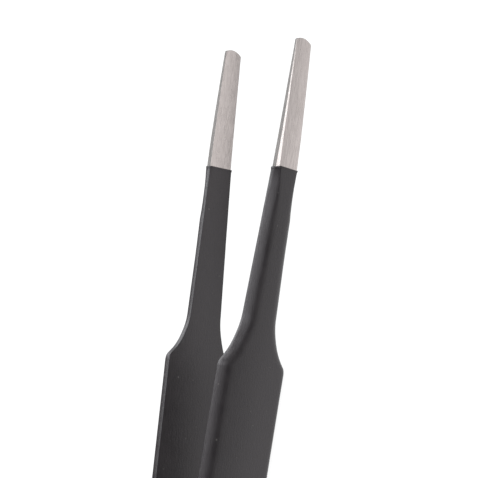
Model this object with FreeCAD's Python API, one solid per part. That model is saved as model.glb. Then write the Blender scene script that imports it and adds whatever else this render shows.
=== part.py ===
import FreeCAD, Part
import math
import os

# Antistatic tweezers with flat round tips: two stamped steel arms, welded together at the tail,
# under one continuous black antistatic coating that leaves the tips bare.
# They lie on their long side edges, as they come to rest on a table.
# X runs from the tail to the tips, Y is the way the arms close, and Z is up.
# The origin is the middle of the length, midway between the arms, on the table.
# All sizes are in millimetres and degrees. A station is a distance back from the tips.

# Overall
overall_length = 120.0
coating_thickness = 0.09

# Side view of one arm: the inner face leaves the weld, bends outward, runs straight along the
# handle, bows over the fingers' place and curls a little inward at the tip
weld_length = 14.0
weld_bend_radius = 40.0
splay_angle = 4.3
handle_length = 21.0
bow_length = 32.0
neck_angle = 2.57
tip_angle = 1.5

# Thickness of the steel, which is ground thinner towards the tip
body_thickness = 1.07
line_thickness = 0.89
tip_thickness = 0.27

# Outline of the steel, seen square to its flat faces
tip_width = 2.56
line_width = 3.46
neck_start_width = 4.0
neck_end_width = 4.94
body_width = 10.2
tail_width = 6.6
tip_end_radius = 2.3
tip_corner_radius = 0.42
neck_radius = 8.6
shoulder_angle = 38.0
shoulder_radius = 1.2
taper_blend_reach = 1.503
tail_corner_radius = 1.3

# Stations along the arm
line_station = 16.0
neck_station = 24.0
shoulder_station = 39.75
taper_station = 84.0

# Outer long edges: flat ground bevels on the bare blade, a full round under the coating
edge_radius = 0.89
line_bevel_depth = 0.48
line_bevel_width = 0.44
tip_bevel_depth = 0.04
tip_bevel_width = 0.08

# Coating lines, left by dipping, so they slant a little and differ from arm to arm
front_bare_length = 16.0
back_bare_length = 15.2
line_slant_angle = 6.2
lip_height = 0.05
lip_length = 0.35

# Angles within which a face of a blank counts as facing a direction, and as square to it
facing_angle = 20.0
square_angle = 1.0

# Values that follow from the sizes above
tip_x = overall_length / 2
tail_x = -tip_x + coating_thickness
line_x = tip_x - line_station
neck_x = tip_x - neck_station
shoulder_x = tip_x - shoulder_station
taper_x = tip_x - taper_station
taper_angle = math.atan2((body_width - tail_width) / 2, taper_x - tail_x)
taper_blend_radius = taper_blend_reach / math.tan(taper_angle / 2)
centre_height = body_width / 2 + coating_thickness
shoulder_run = (body_width - neck_end_width) / 2 / math.tan(math.radians(shoulder_angle))
neck_end_x = shoulder_x + shoulder_run


def along(angle):
    turn = math.radians(angle)
    return FreeCAD.Vector(math.cos(turn), math.sin(turn), 0)


def across(angle):
    turn = math.radians(angle)
    return FreeCAD.Vector(-math.sin(turn), math.cos(turn), 0)


def line(start, end):
    return Part.LineSegment(start, end).toShape()


def arc(start, middle, end):
    return Part.Arc(start, middle, end).toShape()


def bent_line(start, angle_in, angle_out, radius):
    """Centre and end of a round bend that starts at one angle and ends at another."""
    side = math.copysign(radius, angle_out - angle_in)
    centre = start + across(angle_in) * side
    return centre, centre - across(angle_out) * side


def inner_path():
    """Points and angles of the steel's inner face line, from past the tail to the tip."""
    weld_back = FreeCAD.Vector(tail_x - weld_length, 0, 0)
    weld_front = FreeCAD.Vector(tail_x + weld_length, 0, 0)
    bend_centre, bend_end = bent_line(weld_front, 0, splay_angle, weld_bend_radius)
    bend_middle = bend_centre - across(splay_angle / 2) * weld_bend_radius
    bow_start = bend_end + along(splay_angle) * handle_length
    bow_radius = bow_length / math.radians(splay_angle - neck_angle)
    bow_centre, bow_end = bent_line(bow_start, splay_angle, neck_angle, bow_radius)
    bow_middle = bow_centre + across((splay_angle + neck_angle) / 2) * bow_radius
    neck_cut = bow_end + along(neck_angle) * ((neck_x - bow_end.x) / along(neck_angle).x)
    blade_start = bow_end + along(neck_angle) * ((line_x - bow_end.x) / along(neck_angle).x)
    curl_radius = line_station / (along(neck_angle).y - along(tip_angle).y)
    curl_centre, tip = bent_line(blade_start, neck_angle, tip_angle, curl_radius)
    curl_middle = curl_centre + across((neck_angle + tip_angle) / 2) * curl_radius
    return [
        (weld_back, 0),
        (weld_front, 0),
        (bend_middle, splay_angle / 2),
        (bend_end, splay_angle),
        (bow_start, splay_angle),
        (bow_middle, (splay_angle + neck_angle) / 2),
        (bow_end, neck_angle),
        (neck_cut, neck_angle),
        (blade_start, neck_angle),
        (curl_middle, (neck_angle + tip_angle) / 2),
        (tip, tip_angle),
    ]


def side_strip(inner_line, outer_line):
    """Closed side view between two chains of edges that run the same way."""
    edges = inner_line + outer_line
    edges.append(line(inner_line[0].Vertexes[0].Point, outer_line[0].Vertexes[0].Point))
    edges.append(line(inner_line[-1].Vertexes[-1].Point, outer_line[-1].Vertexes[-1].Point))
    return Part.Face(Part.Wire(Part.sortEdges(edges)[0]))


def body_side_view(offset):
    """Side view of the weld, the handle and the neck, past the tail and up to past the neck station."""
    chains = []
    for distance in (-offset, body_thickness + offset):
        at = [point + across(angle) * distance for point, angle in inner_path()]
        weld_and_bend = [line(at[0], at[1]), arc(at[1], at[2], at[3])]
        handle_and_bow = [line(at[3], at[4]), arc(at[4], at[5], at[6])]
        neck = [line(at[6], at[8])]
        chains.append(weld_and_bend + handle_and_bow + neck)
    return side_strip(*chains)


def blade_side_view(offset):
    """Side view in front of the neck station: it thins towards the tip and curls in a little."""
    thicknesses = [body_thickness, line_thickness, (line_thickness + tip_thickness) / 2, tip_thickness]
    inner = []
    outer = []
    for (point, angle), thickness in zip(inner_path()[-4:], thicknesses):
        upright = FreeCAD.Vector(0, 1 / along(angle).x, 0)
        inner.append(point - upright * offset)
        outer.append(point + upright * (thickness + offset))
    chains = [[line(at[0], at[1]), arc(at[1], at[2], at[3])] for at in (inner, outer)]
    return side_strip(*chains)


def rounded_outline(corners):
    """Closed outline in XZ through corners given as (x, z, corner radius)."""
    joins = []
    for i, (x, z, radius) in enumerate(corners):
        here = FreeCAD.Vector(x, 0, z)
        before = corners[i - 1]
        after = corners[(i + 1) % len(corners)]
        to_before = FreeCAD.Vector(before[0] - x, 0, before[1] - z).normalize()
        to_after = FreeCAD.Vector(after[0] - x, 0, after[1] - z).normalize()
        half_turn = (math.pi - to_before.getAngle(to_after)) / 2
        reach = radius * math.tan(half_turn)
        inward = (to_before + to_after).normalize()
        middle = here + inward * radius * (1 / math.cos(half_turn) - 1)
        joins.append((here + to_before * reach, middle, here + to_after * reach))
    edges = []
    for i, (start, middle, end) in enumerate(joins):
        if corners[i][2] > 0:
            edges.append(arc(start, middle, end))
        edges.append(line(end, joins[(i + 1) % len(joins)][0]))
    return Part.Face(Part.Wire(edges))


def body_outline(offset):
    """Neck, shoulders, body and tail, grown on every side by the offset."""
    shift = offset * math.tan(math.radians(shoulder_angle) / 2)
    upper = [
        (neck_x, neck_start_width / 2 + offset, 0),
        (neck_end_x + shift, neck_end_width / 2 + offset, neck_radius - offset),
        (shoulder_x + shift, body_width / 2 + offset, shoulder_radius + offset),
        (taper_x, body_width / 2 + offset, taper_blend_radius + offset),
        (tail_x - offset, tail_width / 2 + offset, tail_corner_radius + offset),
    ]
    lower = [(x, -z, radius) for x, z, radius in reversed(upper)]
    return rounded_outline(upper + lower)


def outer_rim(blank):
    """Edges between the outer faces and the sides, without the cut at the neck station."""
    outward = FreeCAD.Vector(0, 1, 0)
    forward = FreeCAD.Vector(1, 0, 0)
    rim = []
    for edge in blank.Edges:
        on_outer_face = False
        on_side = False
        for face in blank.ancestorsOfType(edge, Part.Face):
            u_low, u_high, v_low, v_high = face.ParameterRange
            normal = face.normalAt((u_low + u_high) / 2, (v_low + v_high) / 2)
            lean = math.degrees(normal.getAngle(outward))
            turn = math.degrees(normal.getAngle(forward))
            on_outer_face = on_outer_face or lean < facing_angle
            on_side = on_side or (abs(lean - 90) < square_angle < turn)
        if on_outer_face and on_side:
            rim.append(edge)
    return rim


def pierce(side_view, outline):
    """Solid that has the given side view in XY and the given outline in XZ."""
    side_view.translate(FreeCAD.Vector(0, 0, -overall_length))
    outline.translate(FreeCAD.Vector(0, -overall_length, 0))
    deep = side_view.extrude(FreeCAD.Vector(0, 0, 2 * overall_length))
    tall = outline.extrude(FreeCAD.Vector(0, 2 * overall_length, 0))
    return deep.common(tall).Solids[0]


def body(offset):
    """Everything behind the neck station, with its outer long edges rounded."""
    blank = pierce(body_side_view(offset), body_outline(offset))
    return blank.makeFillet(edge_radius + offset, outer_rim(blank))


def blade_outline(offset):
    """Neck and flat round tip: an end arc that runs into the sides through two corner arcs."""
    neck_side = FreeCAD.Vector(neck_x, 0, neck_start_width / 2 + offset)
    line_side = FreeCAD.Vector(line_x, 0, line_width / 2 + offset)
    tip_side = FreeCAD.Vector(tip_x, 0, tip_width / 2 + offset)
    end_radius = tip_end_radius + offset
    corner_radius = tip_corner_radius + offset
    end_centre = FreeCAD.Vector(tip_x + offset - end_radius, 0, 0)
    backwards = (line_side - tip_side).normalize()
    outwards = FreeCAD.Vector(backwards.z, 0, -backwards.x)
    start = tip_side - outwards * corner_radius
    gap = start - end_centre
    reach = end_radius - corner_radius
    half = gap.dot(backwards)
    run = -half - math.sqrt(half ** 2 - gap.dot(gap) + reach ** 2)
    corner_centre = start + backwards * run
    towards_end = (corner_centre - end_centre).normalize()
    on_end = end_centre + towards_end * end_radius
    on_corner = corner_centre + (towards_end + outwards).normalize() * corner_radius
    on_side = corner_centre + outwards * corner_radius
    upper = [on_end, on_corner, on_side, line_side, neck_side]
    lower = [FreeCAD.Vector(point.x, 0, -point.z) for point in upper]
    edges = [arc(on_end, FreeCAD.Vector(tip_x + offset, 0, 0), lower[0]), line(neck_side, lower[4])]
    for side in (upper, lower):
        edges += [arc(side[0], side[1], side[2]), line(side[2], side[3]), line(side[3], side[4])]
    return Part.Face(Part.Wire(Part.sortEdges(edges)[0]))


def bevel_ends(inner, angle, thickness, width, depth, bevel_width, offset):
    """Where a bevel starts on the side and ends on the outer face, at one station of the blade."""
    high = inner.y + (thickness + offset) / along(angle).x
    side = width / 2 + offset
    # A film of even thickness over a 45 degree bevel moves the bevel's ends back by this much
    softening = (2 - math.sqrt(2)) * offset
    start = FreeCAD.Vector(inner.x, high - depth - softening, side)
    end = FreeCAD.Vector(inner.x, high, side - bevel_width - softening)
    return start, end


def off_cut(edge, start, end):
    """Closed section of the corner that lies outside an edge."""
    beyond = FreeCAD.Vector(start.x, end.y + edge_radius, start.z + edge_radius)
    return Part.Wire([edge, line(end, beyond), line(beyond, start)])


def bevel_cutters(rounded, offset):
    """One cutter turns the round of the neck into a flat bevel, the next runs that out to the tip."""
    neck_face = max(rounded.Faces, key=lambda face: face.CenterOfMass.x)
    rounds = [edge for edge in neck_face.Edges if edge.Curve.TypeId != "Part::GeomLine"]
    neck_round = max(rounds, key=lambda edge: edge.CenterOfMass.z)
    neck_ends = sorted([vertex.Point for vertex in neck_round.Vertexes], key=lambda point: point.y)
    line_point, line_slope = inner_path()[-3]
    tip_point, tip_slope = inner_path()[-1]
    line_sizes = (line_thickness, line_width, line_bevel_depth, line_bevel_width)
    tip_sizes = (tip_thickness, tip_width, tip_bevel_depth, tip_bevel_width)
    line_ends = bevel_ends(line_point, line_slope, *line_sizes, offset)
    tip_ends = bevel_ends(tip_point, tip_slope, *tip_sizes, offset)
    neck_sections = [off_cut(neck_round, *neck_ends), off_cut(line(*line_ends), *line_ends)]
    blade_sections = []
    for start, end in (line_ends, tip_ends):
        overrun = (end - start) / 2
        longer = (start - overrun, end + overrun)
        blade_sections.append(off_cut(line(*longer), *longer))
    return [Part.makeLoft(sections, True, True) for sections in (neck_sections, blade_sections)]


def blade(rounded, offset):
    """Everything in front of the neck station, bevelled along both outer edges."""
    blank = pierce(blade_side_view(offset), blade_outline(offset))
    upper = bevel_cutters(rounded, offset)
    lower = [cutter.mirror(FreeCAD.Vector(0, 0, 0), FreeCAD.Vector(0, 0, 1)) for cutter in upper]
    return blank.cut(upper + lower)


def arm(offset):
    """One arm on the +Y side, centred on Z = 0 and grown on every side by the offset."""
    rounded = body(offset)
    return rounded.fuse(blade(rounded, offset)).removeSplitter()


def stretch(x_low, x_high):
    """Block on the +Y side that spans one stretch of the length between slanted coating lines."""
    slant = overall_length * math.tan(math.radians(line_slant_angle))
    corners = [
        FreeCAD.Vector(x_low + slant, 0, -overall_length),
        FreeCAD.Vector(x_high + slant, 0, -overall_length),
        FreeCAD.Vector(x_high - slant, 0, overall_length),
        FreeCAD.Vector(x_low - slant, 0, overall_length),
    ]
    outline = Part.Face(Part.makePolygon(corners + corners[:1]))
    return outline.extrude(FreeCAD.Vector(0, overall_length, 0))


def coating_half(steel, bare_length):
    """Coating of one arm, with the small lip that the dipping leaves at its end."""
    end_x = tip_x - bare_length
    film = arm(coating_thickness).common(stretch(-overall_length, end_x))
    lip = arm(coating_thickness + lip_height).common(stretch(end_x - lip_length, end_x))
    return film.fuse(lip).cut(steel)


def to_front(shape):
    return shape.mirror(FreeCAD.Vector(0, 0, 0), FreeCAD.Vector(0, 1, 0))


back_arm = arm(0)
front_arm = to_front(back_arm)
back_coating = coating_half(back_arm, back_bare_length)
front_coating = to_front(coating_half(back_arm, front_bare_length))
coating = back_coating.fuse(front_coating).removeSplitter()

os.makedirs("parts", exist_ok=True)
nodes = {"back_arm": back_arm, "front_arm": front_arm, "antistatic_coating": coating}
for name, shape in nodes.items():
    solid = shape.Solids[0]
    solid.translate(FreeCAD.Vector(0, 0, centre_height))
    solid.exportStep("parts/" + name + ".step")
    print(name, "solids", len(shape.Solids), "faces", len(solid.Faces), "valid", solid.isValid())
    print("  volume", round(solid.Volume, 2), "cubic millimetres")
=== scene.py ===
import math
import bmesh
import bpy
from mathutils import Matrix, Vector


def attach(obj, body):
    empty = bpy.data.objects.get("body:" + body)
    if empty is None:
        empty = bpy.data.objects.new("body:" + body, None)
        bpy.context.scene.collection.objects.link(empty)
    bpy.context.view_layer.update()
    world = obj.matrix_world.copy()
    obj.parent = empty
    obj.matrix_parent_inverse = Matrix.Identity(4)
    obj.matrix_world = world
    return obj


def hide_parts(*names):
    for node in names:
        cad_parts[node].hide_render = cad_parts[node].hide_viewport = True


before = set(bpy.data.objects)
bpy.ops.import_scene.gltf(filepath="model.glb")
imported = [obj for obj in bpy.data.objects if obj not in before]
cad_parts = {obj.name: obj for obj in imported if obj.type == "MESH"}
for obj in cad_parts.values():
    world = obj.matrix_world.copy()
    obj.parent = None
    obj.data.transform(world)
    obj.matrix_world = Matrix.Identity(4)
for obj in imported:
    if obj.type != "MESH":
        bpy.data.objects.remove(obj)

# Antistatic tweezers: two bare steel tips and a black dipped coating, lying on their side edges.
# Objects are in metres in the CAD frame: X to the tips, Y across the arms, Z up.
# The pieces are shaped in millimetres and scaled down once they are finished.

mm = 0.001
scene = bpy.context.scene
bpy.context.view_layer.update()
print("frame loaded:", ", ".join(sorted(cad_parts)))


# Camera: looks down on the tweezers at 45 degrees with the tips at the top of the picture

cameraSet = {
    "elevation": 45.0,
    "pitch": 10.5,  # leans the view towards the tips
    "roll": 7.71,
    "place": (5.31, -115.585, 121.215),  # millimetres
    "lens": 105.44,
    "sensor": 36.0,
    "clip": (0.001, 50.0),  # metres
}


def makeCamera(values):
    elevation = math.radians(values["elevation"])
    pitch = math.radians(values["pitch"])
    roll = math.radians(values["roll"])
    tips = Vector((1, 0, 0))
    back = Vector((0, -math.cos(elevation), math.sin(elevation)))
    side = tips.cross(back)
    up = tips * math.cos(pitch) + back * math.sin(pitch)
    back = back * math.cos(pitch) - tips * math.sin(pitch)
    right = side * math.cos(roll) + up * math.sin(roll)
    up = up * math.cos(roll) - side * math.sin(roll)
    data = bpy.data.cameras.new("photoCamera")
    data.lens = values["lens"]
    data.sensor_width = values["sensor"]
    data.clip_start, data.clip_end = values["clip"]
    camera = bpy.data.objects.new("photoCamera", data)
    scene.collection.objects.link(camera)
    turn = Matrix((right, up, back)).transposed().to_4x4()
    camera.matrix_world = Matrix.Translation(Vector(values["place"]) * mm) @ turn
    scene.camera = camera


makeCamera(cameraSet)
print("camera set")


# Node helpers

def addNode(tree, kind, **values):
    node = tree.nodes.new(kind)
    for name, value in values.items():
        setattr(node, name, value)
    return node


def feed(tree, node, *sources):
    # Links or sets the node's inputs in order
    for socket, source in zip(node.inputs, sources):
        if isinstance(source, bpy.types.NodeSocket):
            tree.links.new(source, socket)
        elif source is not None:
            socket.default_value = source
    return node.outputs[0]


def maths(tree, operation, *sources):
    return feed(tree, addNode(tree, "ShaderNodeMath", operation=operation), *sources)


def between(tree, value, low, high, start=0.0, end=1.0):
    # Smooth step of the value from start to end as it goes from low to high
    node = addNode(tree, "ShaderNodeMapRange", interpolation_type="SMOOTHSTEP")
    return feed(tree, node, value, low, high, start, end)


def mixColour(tree, share, first, second):
    # Goes from the first colour to the second as the share goes from 0 to 1
    node = addNode(tree, "ShaderNodeMix", data_type="RGBA")
    for name, source in (("Factor_Float", share), ("A_Color", first), ("B_Color", second)):
        socket = next(item for item in node.inputs if item.identifier == name)
        if isinstance(source, bpy.types.NodeSocket):
            tree.links.new(source, socket)
        else:
            socket.default_value = source if name == "Factor_Float" else (*source, 1)
    return next(item for item in node.outputs if item.identifier == "Result_Color")


# Light: a dim room, and soft boxes overhead, in front, behind and beside the tips

lightSet = {
    "roomColour": (1.0, 1.0, 1.0),
    "roomStrength": 0.12,
    "roomGloss": 0.02,  # added in reflections
    "boxColour": (0.95, 0.985, 1.0),
    "boxes": {
        # name: (place in millimetres, tilt and turn in degrees, size x, size y, brightness)
        "tipsBox": ((292, -275, 600), 0, 0, 376, 850, 2.75),
        "roofBox": ((-90, 40, 610), 0, 0, 560, 400, 0.6),
        "backBox": ((233, 330, 385), -41, 0, 320, 300, 4.2),
        "frontBox": ((285, -672, 299), 66, 0, 370, 500, 2.1),
        "sideBox": ((420, 480, 190), -80, -41, 460, 380, 3.2),
        "endBox": ((620, -60, 190), -80, -90, 560, 380, 2.6),
    },
}


def makeWorld(values):
    # White to the camera and dim to everything else
    world = bpy.data.worlds.new("room")
    scene.world = world
    world.use_nodes = True
    tree = world.node_tree
    background = tree.nodes["Background"]
    background.inputs["Color"].default_value = (*values["roomColour"], 1)
    rays = addNode(tree, "ShaderNodeLightPath").outputs
    room = values["roomStrength"]
    seen = maths(tree, "MULTIPLY_ADD", rays["Is Camera Ray"], 1 - room, room)
    strength = maths(tree, "MULTIPLY_ADD", rays["Is Glossy Ray"], values["roomGloss"], seen)
    tree.links.new(strength, background.inputs["Strength"])


def makeBox(name, colour, place, tilt, turn, width, height, brightness):
    data = bpy.data.lights.new(name, "AREA")
    data.shape = "RECTANGLE"
    data.size = width * mm
    data.size_y = height * mm
    data.energy = brightness * math.pi * data.size * data.size_y
    data.color = colour
    lamp = bpy.data.objects.new(name, data)
    scene.collection.objects.link(lamp)
    lamp.location = Vector(place) * mm
    lamp.rotation_euler = (math.radians(tilt), 0, math.radians(turn))
    lamp.visible_camera = False


makeWorld(lightSet)
for boxName, boxValues in lightSet["boxes"].items():
    makeBox(boxName, lightSet["boxColour"], *boxValues)


# Floor: pale, and brightest round the tweezers in what the steel and the coating reflect

floorSet = {
    "size": 12000.0,  # millimetres
    "colour": (0.16, 0.16, 0.16),
    "glow": 0.93,
    # A pool of light that fades away from the tweezers
    "poolStart": 8.0,
    "poolEnd": 24.0,
    "poolBright": 1.1,
    "poolLength": 0.12,  # how much a step along X counts against one across Y
    # Beside the back tip the pool is dimmer
    "shadeMiddle": 4.5,
    "shadeStart": 1.2,
    "shadeEnd": 6.2,
    "shadeRise": (18.0, 52.0),
    "shadeDepth": 0.72,
}


def makeFloor(values):
    mesh = bpy.data.meshes.new("floor")
    bm = bmesh.new()
    bmesh.ops.create_grid(bm, x_segments=1, y_segments=1, size=values["size"] * mm / 2)
    bm.to_mesh(mesh)
    bm.free()
    floor = bpy.data.objects.new("floor", mesh)
    scene.collection.objects.link(floor)
    material = bpy.data.materials.new("paleFloor")
    material.use_nodes = True
    tree = material.node_tree
    tree.nodes.clear()
    output = addNode(tree, "ShaderNodeOutputMaterial")
    diffuse = addNode(tree, "ShaderNodeBsdfDiffuse")
    diffuse.inputs["Color"].default_value = (*values["colour"], 1)
    glow = addNode(tree, "ShaderNodeEmission")
    glow.inputs["Color"].default_value = (1, 1, 1, 1)
    place = addNode(tree, "ShaderNodeTexCoord").outputs["Object"]
    flatten = addNode(tree, "ShaderNodeVectorMath", operation="MULTIPLY")
    feed(tree, flatten, place, (values["poolLength"], 1, 0))
    distance = addNode(tree, "ShaderNodeVectorMath", operation="LENGTH")
    feed(tree, distance, flatten.outputs[0])
    pool = between(tree, distance.outputs["Value"], values["poolStart"] * mm,
                   values["poolEnd"] * mm, values["poolBright"], 0.0)
    parts = addNode(tree, "ShaderNodeSeparateXYZ")
    feed(tree, parts, place)
    fromMiddle = maths(tree, "SUBTRACT", parts.outputs["Y"], values["shadeMiddle"] * mm)
    beside = between(tree, maths(tree, "ABSOLUTE", fromMiddle), values["shadeStart"] * mm,
                     values["shadeEnd"] * mm, values["shadeDepth"], 0.0)
    start, end = values["shadeRise"]
    towardsTip = between(tree, parts.outputs["X"], start * mm, end * mm)
    shade = maths(tree, "SUBTRACT", 1.0, maths(tree, "MULTIPLY", beside, towardsTip))
    rays = addNode(tree, "ShaderNodeLightPath").outputs
    shadedPool = maths(tree, "MULTIPLY", pool, shade)
    reflected = maths(tree, "MULTIPLY", rays["Is Glossy Ray"], shadedPool)
    seen = maths(tree, "MAXIMUM", rays["Is Camera Ray"], reflected)
    strength = maths(tree, "MULTIPLY", seen, values["glow"])
    tree.links.new(strength, glow.inputs["Strength"])
    both = addNode(tree, "ShaderNodeAddShader")
    feed(tree, both, diffuse.outputs[0], glow.outputs[0])
    tree.links.new(both.outputs[0], output.inputs["Surface"])
    mesh.materials.append(material)


makeFloor(floorSet)
scene.view_settings.view_transform = "Standard"
print("stage and lights set")


# Shared surface effects, in metres on Object coordinates

groupSet = {
    "grainDetail": 4.0,
    "grainRoughness": 0.62,
    "patchDetail": 3.0,
    "patchRoughness": 0.5,
    # Noise that breaks up the painted edge light
    "edgeBreakupScale": 900.0,
    "edgeBreakupDetail": 3.0,
    "edgeBreakupRoughness": 0.5,
}


def newGroup(name, inputs, output):
    tree = bpy.data.node_groups.new(name, "ShaderNodeTree")
    for label in inputs:
        tree.interface.new_socket(label, in_out="INPUT", socket_type="NodeSocketFloat")
    tree.interface.new_socket(output, in_out="OUTPUT", socket_type="NodeSocketFloat")
    start = addNode(tree, "NodeGroupInput")
    end = addNode(tree, "NodeGroupOutput")
    place = addNode(tree, "ShaderNodeTexCoord").outputs["Object"]
    return tree, start.outputs, end.inputs[0], place


def noiseAt(tree, place, scale, detail, roughness):
    noise = addNode(tree, "ShaderNodeTexNoise")
    return feed(tree, noise, place, None, scale, detail, roughness)


def spreadOut(tree, value, spread):
    # Noise stays near one half, so what lies within the spread of it is drawn out to 0 to 1
    low = maths(tree, "SUBTRACT", 0.5, spread)
    high = maths(tree, "ADD", 0.5, spread)
    return between(tree, value, low, high)


def makeGrainGroup(values):
    # Fine streaks along X, 0 to 1
    tree, given, out, place = newGroup("lengthGrain", ("Along", "Across", "Spread"), "Grain")
    combine = addNode(tree, "ShaderNodeCombineXYZ")
    scale = feed(tree, combine, given["Along"], given["Across"], given["Across"])
    stretch = addNode(tree, "ShaderNodeVectorMath", operation="MULTIPLY")
    stretched = feed(tree, stretch, place, scale)
    noise = noiseAt(tree, stretched, 1.0, values["grainDetail"], values["grainRoughness"])
    tree.links.new(spreadOut(tree, noise, given["Spread"]), out)
    return tree


def makePatchGroup(values):
    # Soft cloudy unevenness, 0 to 1
    tree, given, out, place = newGroup("softPatches", ("Scale", "Spread"), "Patch")
    noise = noiseAt(tree, place, given["Scale"], values["patchDetail"], values["patchRoughness"])
    tree.links.new(spreadOut(tree, noise, given["Spread"]), out)
    return tree


def makeSpeckGroup():
    # Scattered small specks, 0 to 1
    tree, given, out, place = newGroup("dustSpecks", ("Density", "Size", "Share"), "Speck")
    cells = addNode(tree, "ShaderNodeTexVoronoi")
    tree.links.new(place, cells.inputs["Vector"])
    tree.links.new(given["Density"], cells.inputs["Scale"])
    near = between(tree, cells.outputs["Distance"], 0.0, given["Size"], 1.0, 0.0)
    picked = addNode(tree, "ShaderNodeSeparateColor")
    tree.links.new(cells.outputs["Color"], picked.inputs[0])
    chosen = maths(tree, "LESS_THAN", picked.outputs[0], given["Share"])
    tree.links.new(maths(tree, "MULTIPLY", near, chosen), out)
    return tree


def makeEdgeGroup(values):
    # Painted light along the edges that the pieces mark in their edgeNear attribute, broken up by
    # noise: painted shade on the steel, a painted highlight on the coating
    tree, given, out, place = newGroup("paintedEdgeLight", ("Start", "Full", "Breakup"), "EdgeLight")
    marked = addNode(tree, "ShaderNodeAttribute", attribute_name="edgeNear")
    noise = noiseAt(tree, place, values["edgeBreakupScale"], values["edgeBreakupDetail"], values["edgeBreakupRoughness"])
    aboveHalf = maths(tree, "SUBTRACT", noise, 0.5)
    shift = maths(tree, "MULTIPLY", aboveHalf, given["Breakup"])
    uneven = maths(tree, "ADD", marked.outputs["Fac"], shift)
    tree.links.new(between(tree, uneven, given["Start"], given["Full"]), out)
    return tree


grainGroup = makeGrainGroup(groupSet)
patchGroup = makePatchGroup(groupSet)
speckGroup = makeSpeckGroup()
edgeGroup = makeEdgeGroup(groupSet)


def placeGroup(tree, group, *values):
    node = addNode(tree, "ShaderNodeGroup", node_tree=group)
    return feed(tree, node, *values)


def startMaterial(name, values):
    material = bpy.data.materials.new(name)
    material.use_nodes = True
    tree = material.node_tree
    shader = tree.nodes["Principled BSDF"]
    shader.inputs["Metallic"].default_value = values["metallic"]
    shader.inputs["Specular IOR Level"].default_value = values["specular"]
    shader.inputs["Specular Tint"].default_value = (*values["specularTint"], 1)
    return material, tree, shader


def finishMaterial(tree, shader, colour, roughness, height, values):
    tree.links.new(colour, shader.inputs["Base Color"])
    tree.links.new(roughness, shader.inputs["Roughness"])
    bump = addNode(tree, "ShaderNodeBump")
    bump.inputs["Strength"].default_value = values["bumpStrength"]
    bump.inputs["Distance"].default_value = values["bumpDepth"] * mm
    tree.links.new(height, bump.inputs["Height"])
    tree.links.new(bump.outputs[0], shader.inputs["Normal"])


steelFinish = {
    "metallic": 1.0,
    "specular": 0.5,
    "specularTint": (1.0, 1.0, 1.0),
    "colour": (0.665, 0.601, 0.583),
    "darkStreak": (0.470, 0.423, 0.408),
    # Colour of the dark specks, and of the painted shade on the side walls and the very ends of the
    # tips
    "darkSpeckAndEdgeShade": (0.185, 0.172, 0.167),
    "roughness": 0.27,
    "streakRoughness": 0.10,
    "edgeRoughness": 0.25,
    "patchShare": 0.25,
    "speckShare": 0.6,
    # What the surface effects are given: grain, patches, specks, edges
    "grain": (650.0, 13500.0, 0.15),
    "patches": (160.0, 0.25),
    "specks": (2600.0, 0.3, 0.03),
    "edges": (0.55, 0.95, 0.15),
    "bumpStrength": 0.5,
    "bumpDepth": 0.008,
}


def makeSteelMaterial(values):
    material, tree, shader = startMaterial("groundSteel", values)
    grain = placeGroup(tree, grainGroup, *values["grain"])
    patch = placeGroup(tree, patchGroup, *values["patches"])
    speck = placeGroup(tree, speckGroup, *values["specks"])
    # Edge mask for painted shade: darkens the steel's side walls and tip ends, and roughens them
    shadedEdge = placeGroup(tree, edgeGroup, *values["edges"])
    streaked = mixColour(tree, grain, values["darkStreak"], values["colour"])
    patchShare = maths(tree, "MULTIPLY", patch, values["patchShare"])
    clouded = mixColour(tree, patchShare, streaked, values["darkStreak"])
    speckShare = maths(tree, "MULTIPLY", speck, values["speckShare"])
    specked = mixColour(tree, speckShare, clouded, values["darkSpeckAndEdgeShade"])
    colour = mixColour(tree, shadedEdge, specked, values["darkSpeckAndEdgeShade"])
    rough = maths(tree, "MULTIPLY_ADD", grain, values["streakRoughness"], values["roughness"])
    rough = maths(tree, "MULTIPLY_ADD", shadedEdge, values["edgeRoughness"], rough)
    finishMaterial(tree, shader, colour, rough, grain, values)
    return material


coatingFinish = {
    "metallic": 0.0,
    "specular": 0.58,
    "specularTint": (1.0, 0.955, 0.985),
    "colour": (0.0232, 0.0190, 0.0210),
    "paleColour": (0.0335, 0.0282, 0.0303),
    "dust": (0.20, 0.19, 0.18),
    # Painted highlight along the lower side walls of the coating
    "edgeHighlight": (0.045, 0.044, 0.045),
    "roughness": 0.36,
    "patchRoughness": 0.06,
    "speckRoughness": 0.3,
    "edgeHighlightShare": 0.7,
    "speckShare": 0.7,
    "grainHeight": 0.8,
    "pitHeight": 0.6,
    "speckHeight": 1.5,
    # What the surface effects are given: grain, patches, pits, specks, edges
    "grain": (900.0, 9000.0, 0.22),
    "patches": (420.0, 0.2),
    "pits": (5200.0, 0.2),
    "specks": (1300.0, 0.22, 0.07),
    "edges": (0.4, 1.0, 0.5),
    "bumpStrength": 0.6,
    "bumpDepth": 0.012,
}


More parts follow.
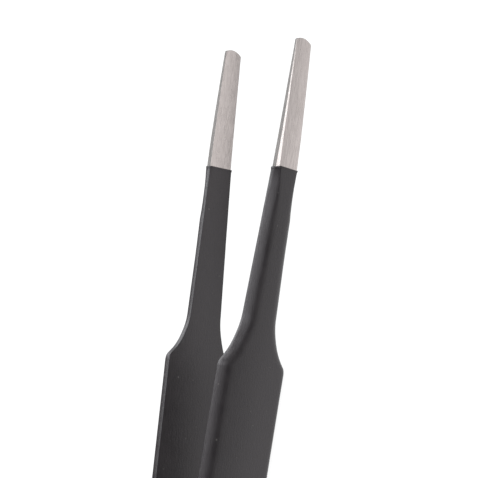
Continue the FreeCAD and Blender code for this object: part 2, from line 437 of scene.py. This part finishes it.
def makeCoatingMaterial(values):
    material, tree, shader = startMaterial("blackCoating", values)
    grain = placeGroup(tree, grainGroup, *values["grain"])
    patch = placeGroup(tree, patchGroup, *values["patches"])
    pits = placeGroup(tree, patchGroup, *values["pits"])
    speck = placeGroup(tree, speckGroup, *values["specks"])
    edge = placeGroup(tree, edgeGroup, *values["edges"])
    mottled = mixColour(tree, patch, values["colour"], values["paleColour"])
    # Painted highlight: the marked edges are lightened
    edgeHighlightShare = maths(tree, "MULTIPLY", edge, values["edgeHighlightShare"])
    edgeLit = mixColour(tree, edgeHighlightShare, mottled, values["edgeHighlight"])
    speckShare = maths(tree, "MULTIPLY", speck, values["speckShare"])
    colour = mixColour(tree, speckShare, edgeLit, values["dust"])
    rough = maths(tree, "MULTIPLY_ADD", patch, values["patchRoughness"], values["roughness"])
    rough = maths(tree, "MULTIPLY_ADD", speck, values["speckRoughness"], rough)
    height = maths(tree, "MULTIPLY", pits, values["pitHeight"])
    height = maths(tree, "MULTIPLY_ADD", grain, values["grainHeight"], height)
    height = maths(tree, "MULTIPLY_ADD", speck, values["speckHeight"], height)
    finishMaterial(tree, shader, colour, rough, height, values)
    return material


steel = makeSteelMaterial(steelFinish)
black = makeCoatingMaterial(coatingFinish)
print("materials made")


# Side view of one arm: where the inner face of the steel runs, from the tail to the tip

armLine = {
    "tail": -59.91,
    "weld": 14.0,  # length where the arms lie face to face
    "bendRadius": 40.0,
    "splay": 4.3,  # degrees from the middle plane along the handle
    "handle": 21.0,
    "bow": 32.0,
    "neckAngle": 2.57,
    "bareStart": 44.0,
    "bareLength": 16.0,
    "tipAngle": 1.5,
    "slopeStep": 0.05,
    "thickness": ((-60.0, 1.07), (36.0, 1.07), (44.0, 0.89), (60.0, 0.27)),  # x, thickness
    "height": 5.19,  # middle of the arms above the floor
}


def arcHeight(x, startX, startY, slope, radius):
    # Height at x on an arc that sets out from the start at the slope and turns downwards
    centreX = startX + radius * math.sin(slope)
    centreY = startY - radius * math.cos(slope)
    return centreY + math.sqrt(radius ** 2 - (x - centreX) ** 2)


def innerFace(x, values=armLine):
    splay = math.radians(values["splay"])
    neck = math.radians(values["neckAngle"])
    tip = math.radians(values["tipAngle"])
    bendRadius = values["bendRadius"]
    weldX = values["tail"] + values["weld"]
    if x < weldX:
        return 0.0
    bendX = weldX + bendRadius * math.sin(splay)
    if x < bendX:
        return bendRadius - math.sqrt(bendRadius ** 2 - (x - weldX) ** 2)
    bendY = bendRadius * (1 - math.cos(splay))
    bowX = bendX + values["handle"] * math.cos(splay)
    if x < bowX:
        return bendY + (x - bendX) * math.tan(splay)
    bowY = bendY + values["handle"] * math.sin(splay)
    bowRadius = values["bow"] / (splay - neck)
    neckX = bowX + bowRadius * (math.sin(splay) - math.sin(neck))
    if x < neckX:
        return arcHeight(x, bowX, bowY, splay, bowRadius)
    neckY = bowY + bowRadius * (math.cos(neck) - math.cos(splay))
    bareX = values["bareStart"]
    if x < bareX:
        return neckY + (x - neckX) * math.tan(neck)
    bareY = neckY + (bareX - neckX) * math.tan(neck)
    curlRadius = values["bareLength"] / (math.sin(neck) - math.sin(tip))
    return arcHeight(x, bareX, bareY, neck, curlRadius)


def slopeStretch(x):
    # How much longer an upright measure is than one square to the sloping face
    step = armLine["slopeStep"]
    rise = (innerFace(x + step) - innerFace(x - step)) / (2 * step)
    return math.sqrt(1 + rise ** 2)


def follow(table, x):
    # Straight-line value at x between the rows of a table
    if x <= table[0][0]:
        return table[0][1]
    for (x0, v0), (x1, v1) in zip(table, table[1:]):
        if x <= x1:
            return v0 + (v1 - v0) * (x - x0) / (x1 - x0)
    return table[-1][1]


def newPiece(name, bm, material, nodeName):
    bmesh.ops.translate(bm, verts=bm.verts, vec=(0, 0, armLine["height"]))
    bmesh.ops.scale(bm, verts=bm.verts, vec=(mm, mm, mm))
    mesh = bpy.data.meshes.new(name)
    bm.to_mesh(mesh)
    bm.free()
    piece = bpy.data.objects.new(name, mesh)
    scene.collection.objects.link(piece)
    mesh.materials.append(material)
    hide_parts(nodeName)
    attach(piece, "root")
    return piece


# Blanks: a stamped outline with a soft outer rim, cut along its length and bent to the arm

rimFullness = 0.8  # 1 is a plain ellipse, less is fuller
cutTolerance = 0.0005  # millimetres
rimTolerance = 0.001  # a smaller share of the rim counts as none
endTolerance = 0.001  # millimetres
normalWeight = 80  # how far the larger faces lead the shading


def stampedOutline(bm, upper, lower):
    # Closed face in XZ whose corners are rounded one after another
    corners = list(upper) + [(x, -z, radius, steps) for x, z, radius, steps in reversed(lower)]
    verts = [bm.verts.new((x, 0, z)) for x, z, radius, steps in corners]
    bm.faces.new(verts)
    places = [vert.co.copy() for vert in verts]
    for i, (x, z, radius, steps) in enumerate(corners):
        if not radius:
            continue
        toBefore = places[i - 1] - places[i]
        toAfter = places[(i + 1) % len(places)] - places[i]
        reach = radius * math.tan((math.pi - toBefore.angle(toAfter)) / 2)
        bmesh.ops.bevel(bm, geom=[verts[i]], offset=reach, offset_type="OFFSET", segments=steps,
                        profile=0.5, affect="VERTICES", clamp_overlap=False, material=-1)


def roundCap(bm, cap, width, depth, steps):
    # Insets the cap ring by ring, up a quarter of a slightly full ellipse
    rings = [(0.0, 0.0)]
    for step in range(1, steps + 1):
        turn = math.pi / 2 * step / steps
        rings.append((1 - math.cos(turn) ** rimFullness, math.sin(turn) ** rimFullness))
    for (inLow, upLow), (inHigh, upHigh) in zip(rings, rings[1:]):
        bmesh.ops.inset_region(bm, faces=[cap], thickness=width * (inHigh - inLow),
                               depth=depth * (upHigh - upLow), use_boundary=True,
                               use_even_offset=True)


def cutAt(bm, place, direction, clearOuter=False):
    geom = bm.verts[:] + bm.edges[:] + bm.faces[:]
    bmesh.ops.bisect_plane(bm, geom=geom, dist=cutTolerance, plane_co=place, plane_no=direction,
                           clear_outer=clearOuter)


def flatBlank(values):
    bm = bmesh.new()
    bm.verts.layers.float.new("edgeNear")
    stampedOutline(bm, values["upperOutline"], values["lowerOutline"])
    wall = values["depth"] - values["roundDepth"] - values["innerRound"]
    bmesh.ops.translate(bm, verts=bm.verts, vec=(0, values["innerRound"], 0))
    raised = bmesh.ops.extrude_face_region(bm, geom=bm.faces[:], use_keep_orig=True)["geom"]
    bmesh.ops.translate(bm, verts=[part for part in raised if isinstance(part, bmesh.types.BMVert)],
                        vec=(0, wall, 0))
    bmesh.ops.recalc_face_normals(bm, faces=bm.faces)
    caps = sorted([face for face in bm.faces if len(face.verts) > 4],
                  key=lambda face: face.calc_center_median().y)
    roundCap(bm, caps[-1], values["roundWidth"], values["roundDepth"], values["roundSteps"])
    roundCap(bm, caps[0], values["innerRound"], values["innerRound"], values["innerSteps"])
    return bm


def cutBlank(bm, endX, values):
    # Crosswise cuts along the length, then lengthwise cuts for the crown
    stations = int((endX - values["tail"]) / values["cutEvery"])
    for station in range(1, stations):
        cutAt(bm, (values["tail"] + station * values["cutEvery"], 0, 0), (1, 0, 0))
    for level in values["levels"]:
        cutAt(bm, (0, 0, level), (0, 0, 1))
        cutAt(bm, (0, 0, -level), (0, 0, 1))


def roundTip(bm, values):
    # Lengthwise cuts in the tip, which then falls back on both sides of its middle
    start = values["tipZone"]
    edgeNear = bm.verts.layers.float["edgeNear"]
    for level in values["tipLevels"]:
        for side in (level, -level):
            geom = [part for part in bm.verts[:] + bm.edges[:] + bm.faces[:]
                    if max(vert.co.x for vert in getattr(part, "verts", [part])) > start]
            bmesh.ops.bisect_plane(bm, geom=geom, dist=cutTolerance, plane_co=(0, 0, side),
                                   plane_no=(0, 0, 1))
    for vert in bm.verts:
        # The very end of the tip is marked for painted shade, which tones down its highlight
        if vert.co.x > values["tip"] - endTolerance:
            vert[edgeNear] = 1.0
        if vert.co.x > start:
            vert.co.x -= tipDrop(vert.co.z, values) * (vert.co.x - start) / (values["tip"] - start)


def tipDrop(z, values):
    # How far the flat round tip falls back from its very end at a height across it
    z = abs(z)
    cornerZ = values["cornerHeight"]
    endRadius = values["endRadius"]
    cornerRadius = values["cornerRadius"]
    touchZ = cornerZ * endRadius / (endRadius - cornerRadius)
    if z <= touchZ:
        return endRadius - math.sqrt(endRadius ** 2 - z ** 2)
    cornerX = endRadius - math.sqrt((endRadius - cornerRadius) ** 2 - cornerZ ** 2)
    return cornerX - math.sqrt(max(0.0, cornerRadius ** 2 - (z - cornerZ) ** 2))


def bendToArm(bm, values):
    # Fits the rim and the thickness along the arm, then follows its side view
    edgeNear = bm.verts.layers.float["edgeNear"]
    sides = ("lowerOutline", "upperOutline")
    outlines = [[row[:2] for row in reversed(values[side])] for side in sides]
    rims = (values["lowerRims"], values["upperRims"])
    film = values["film"]
    for vert in bm.verts:
        x, out, z = vert.co
        halfWidth = follow(outlines[z > 0], x)
        roundWidth = follow(rims[z > 0], x)
        fromSide = halfWidth - abs(z)
        fromTop = values["depth"] - out
        downWall = max(0.0, fromTop - values["roundDepth"])
        lowerShare = downWall / (values["depth"] - values["roundDepth"])
        across = max(0.0, 1 - fromSide / values["roundWidth"])
        down = max(0.0, 1 - fromTop / values["roundDepth"])
        if x > values["neck"] and across > rimTolerance and down > rimTolerance:
            # The rim turns into a flat bevel towards the coating line and the tip
            plainDown = down ** (1 / rimFullness)
            plainAcross = across ** (1 / rimFullness)
            turn = math.atan2(plainDown, plainAcross) / (math.pi / 2)
            flat = follow(values["flatness"], x)
            across += (1 - turn - across) * flat
            down += (turn - down) * flat
        if across > rimTolerance:
            resized = roundWidth * (1 - across)
        else:
            spread = (halfWidth - roundWidth) / (halfWidth - values["roundWidth"])
            resized = halfWidth - (halfWidth - fromSide) * spread
        topShare = 1 - down
        fromSide = resized + (fromSide - resized) * lowerShare
        z = math.copysign(halfWidth - fromSide, z)
        stretch = slopeStretch(x)
        inner = max(innerFace(x) - film * stretch, -values["seamSink"])
        outer = innerFace(x) + (follow(armLine["thickness"], x) + film) * stretch
        y = outer - follow(values["roundDepths"], x) * topShare
        y += (inner - y) * lowerShare
        # The outer face is crowned a little across the body
        y -= follow(values["crown"], x) * (z / values["halfWidth"]) ** 2 * (1 - lowerShare)
        vert.co = (x, y, z)
        # Marks the wall near the side for painted light: shade on the steel, a highlight on the
        # coating
        if fromSide < values["markWidth"] and lowerShare > values["markShare"]:
            vert[edgeNear] = 1.0


def turnedOver(bm):
    # The other arm is the same blank turned half round about X
    bmesh.ops.rotate(bm, verts=bm.verts, cent=(0, 0, 0), matrix=Matrix.Rotation(math.pi, 3, "X"))
    return bm


def shadeSmooth(bm, sharpAngle):
    for face in bm.faces:
        face.smooth = True
    for edge in bm.edges:
        edge.smooth = edge.calc_face_angle(0) < math.radians(sharpAngle)


def evenNormals(piece):
    normals = piece.modifiers.new("normals", "WEIGHTED_NORMAL")
    normals.keep_sharp = True
    normals.weight = normalWeight


# Steel arms: full length, thinned towards the tips, with ground bevels along the bare ends

steelSet = {
    "film": 0.0,  # how far the piece lies off the steel
    "depth": 1.07,
    "roundWidth": 1.21,
    "roundDepth": 0.86,
    "roundSteps": 8,
    "innerRound": 0.02,
    "innerSteps": 2,
    # x, distance from the middle line, corner radius, corner steps
    "upperOutline": (
        (62.0, 1.28, 0, 0),
        (44.0, 1.87, 0, 0),
        (36.0, 2.08, 0, 0),
        (23.50, 2.52, 6.80, 8),
        (20.90, 5.10, 1.22, 8),
        (-24.0, 5.10, 60.0, 4),
        (-59.91, 3.30, 1.30, 8),
    ),
    "lowerOutline": (
        (62.0, 1.2238, 0, 0),
        (44.0, 1.73, 0, 0),
        (36.0, 2.03, 0, 0),
        (23.60, 2.60, 8.60, 8),
        (20.30, 5.10, 1.22, 8),
        (-24.0, 5.10, 60.0, 4),
        (-59.91, 3.30, 1.30, 8),
    ),
    "tail": -59.91,
    "neck": 24.0,
    "tip": 60.0,
    "tipZone": 56.5,
    "endLine": 0.05,  # the last cut's distance from the tip
    "tipLevels": (0.0, 0.25, 0.5, 0.75, 0.95, 1.04, 1.12, 1.18, 1.23, 1.28),
    "endRadius": 2.3,
    "cornerRadius": 0.42,
    "cornerHeight": 0.92,
    "cutEvery": 1.0,
    "cutPast": 0.5,
    "levels": (0.0, 1.2, 2.4, 3.6),
    # Along X: the rim's width on both sides and its depth, how flat its bevel is, and the crown
    "lowerRims": ((-50.0, 1.21), (-30.0, 1.41), (20.0, 1.46), (24.0, 1.61), (34.0, 1.61),
                  (37.0, 1.31), (40.0, 0.96), (44.0, 0.30), (48.0, 0.17), (60.0, 0.05)),
    "upperRims": ((-50.0, 1.21), (-30.0, 0.96), (20.0, 0.91), (24.0, 1.26), (33.0, 1.41),
                  (37.0, 1.21), (40.0, 0.81), (44.0, 0.30), (48.0, 0.17), (60.0, 0.05)),
    "roundDepths": ((20.0, 0.86), (26.0, 1.02), (35.0, 1.02), (39.0, 0.90), (44.0, 0.33),
                    (48.0, 0.18), (60.0, 0.03)),
    "flatness": ((38.0, 0.0), (43.5, 1.0)),
    "crown": ((-50.0, 0.0), (-40.0, 0.10), (18.0, 0.10), (30.0, 0.0)),
    "halfWidth": 5.10,
    "seamSink": 0.0,
    # The wall under the rim is marked for painted shade this close to the side and past this share
    # of it
    "markWidth": 0.01,
    "markShare": 0.0,
    "sharpAngle": 25.0,
}


def makeArm(name, nodeName, values, turned):
    bm = flatBlank(values)
    cutAt(bm, (values["tip"], 0, 0), (1, 0, 0), clearOuter=True)
    bmesh.ops.holes_fill(bm, edges=[edge for edge in bm.edges if edge.is_boundary], sides=0)
    cutBlank(bm, values["tip"] + values["cutPast"], values)
    cutAt(bm, (values["tip"] - values["endLine"], 0, 0), (1, 0, 0))
    bendToArm(bm, values)
    roundTip(bm, values)
    if turned:
        turnedOver(bm)
    bmesh.ops.recalc_face_normals(bm, faces=bm.faces)
    shadeSmooth(bm, values["sharpAngle"])
    piece = newPiece(name, bm, steel, nodeName)
    evenNormals(piece)


makeArm("backArmSteel", "back_arm", steelSet, False)
makeArm("frontArmSteel", "front_arm", steelSet, True)
print("arms made")


# Coating: one thin skin over both arms, with a small lip at its two slanted lines

coatingSet = {
    "film": 0.09,
    "depth": 1.25,
    "roundWidth": 1.30,
    "roundDepth": 0.95,
    "roundSteps": 10,
    "innerRound": 0.10,
    "innerSteps": 3,
    "upperOutline": (
        (48.0, 1.8289, 0, 0),
        (44.0, 1.96, 0, 0),
        (36.0, 2.17, 0, 0),
        (23.53, 2.61, 6.71, 8),
        (20.93, 5.19, 1.31, 8),
        (-24.0, 5.19, 60.09, 4),
        (-60.0, 3.39, 1.39, 8),
    ),
    "lowerOutline": (
        (48.0, 1.7075, 0, 0),
        (44.0, 1.82, 0, 0),
        (36.0, 2.12, 0, 0),
        (23.63, 2.69, 8.51, 8),
        (20.33, 5.19, 1.31, 8),
        (-24.0, 5.19, 60.09, 4),
        (-60.0, 3.39, 1.39, 8),
    ),
    "tail": -60.0,
    "neck": 24.0,
    "tip": 60.0,
    "cutEvery": 1.0,
    "cutPast": -0.4,  # clear of the cuts for the lip
    "levels": (0.0, 0.45, 1.2, 2.4, 3.4),
    "lowerRims": ((-50.0, 1.30), (-30.0, 1.50), (20.0, 1.55), (24.0, 1.70), (34.0, 1.70),
                  (37.0, 1.40), (40.0, 1.05), (44.0, 0.39)),
    "upperRims": ((-50.0, 1.30), (-30.0, 1.05), (20.0, 1.00), (24.0, 1.35), (33.0, 1.50),
                  (37.0, 1.30), (40.0, 0.90), (44.0, 0.39)),
    "roundDepths": ((20.0, 0.95), (26.0, 1.17), (35.0, 1.17), (39.0, 0.99), (44.0, 0.41)),
    "flatness": ((38.0, 0.0), (43.5, 1.0)),
    "crown": ((-50.0, 0.0), (-40.0, 0.10), (18.0, 0.10), (30.0, 0.0)),
    "halfWidth": 5.19,
    # Bare length and slant of the coating line on the two arms; the front one is made turned over
    "backLine": (15.2, 6.2),
    "frontLine": (16.0, -6.2),
    "lipHeight": 0.05,
    "lipLength": 0.35,
    "lipFront": 0.35,  # where on its swell the lip is cut off by the line
    "lipCuts": (0.02, 0.06, 0.12, 0.20, 0.28, 0.36),
    "seamSink": 0.03,
    "seamReach": 0.002,
    # The wall is marked for a painted highlight this close to the side and past this share of it
    "markWidth": 0.06,
    "markShare": 0.6,
    "sharpAngle": 45.0,
}


def raiseLip(bm, lineEnd, lineNormal, values):
    bm.normal_update()
    front = values["lipFront"]
    for vert in bm.verts:
        back = (lineEnd - vert.co).dot(lineNormal)
        if back < values["lipLength"]:
            share = back / values["lipLength"]
            swell = math.sin(math.pi * min(1, front + (1 - front) * share))
            vert.co += vert.normal * values["lipHeight"] * swell


def coatingHalf(values, bareLength, slantAngle):
    bm = flatBlank(values)
    slant = math.radians(slantAngle)
    lineNormal = Vector((math.cos(slant), 0, math.sin(slant)))
    lineEnd = Vector((values["tip"] - bareLength, 0, 0))
    cutAt(bm, lineEnd, lineNormal, clearOuter=True)
    for back in values["lipCuts"]:
        cutAt(bm, lineEnd - lineNormal * back, lineNormal)
    cutBlank(bm, lineEnd.x + values["cutPast"], values)
    bendToArm(bm, values)
    raiseLip(bm, lineEnd, lineNormal, values)
    cutAt(bm, (0, 0, 0), (0, -1, 0), clearOuter=True)
    return bm


def makeCoating(values):
    coat = coatingHalf(values, *values["backLine"])
    front = turnedOver(coatingHalf(values, *values["frontLine"]))
    half = bpy.data.meshes.new("frontHalf")
    front.to_mesh(half)
    front.free()
    coat.from_mesh(half)
    bpy.data.meshes.remove(half)
    seam = [vert for vert in coat.verts if abs(vert.co.y) < values["seamReach"]]
    bmesh.ops.remove_doubles(coat, verts=seam, dist=values["seamReach"])
    bmesh.ops.recalc_face_normals(coat, faces=coat.faces)
    shadeSmooth(coat, values["sharpAngle"])
    openEdges = [edge for edge in coat.edges if edge.is_boundary]
    crowded = [edge for edge in coat.edges if len(edge.link_faces) > 2]
    print("coating faces", len(coat.faces), "open edges", len(openEdges), "crowded", len(crowded))
    piece = newPiece("coatingSkin", coat, black, "antistatic_coating")
    skin = piece.modifiers.new("skin", "SOLIDIFY")
    skin.thickness = values["film"] * mm
    skin.offset = -1
    evenNormals(piece)


makeCoating(coatingSet)
print("coating made")
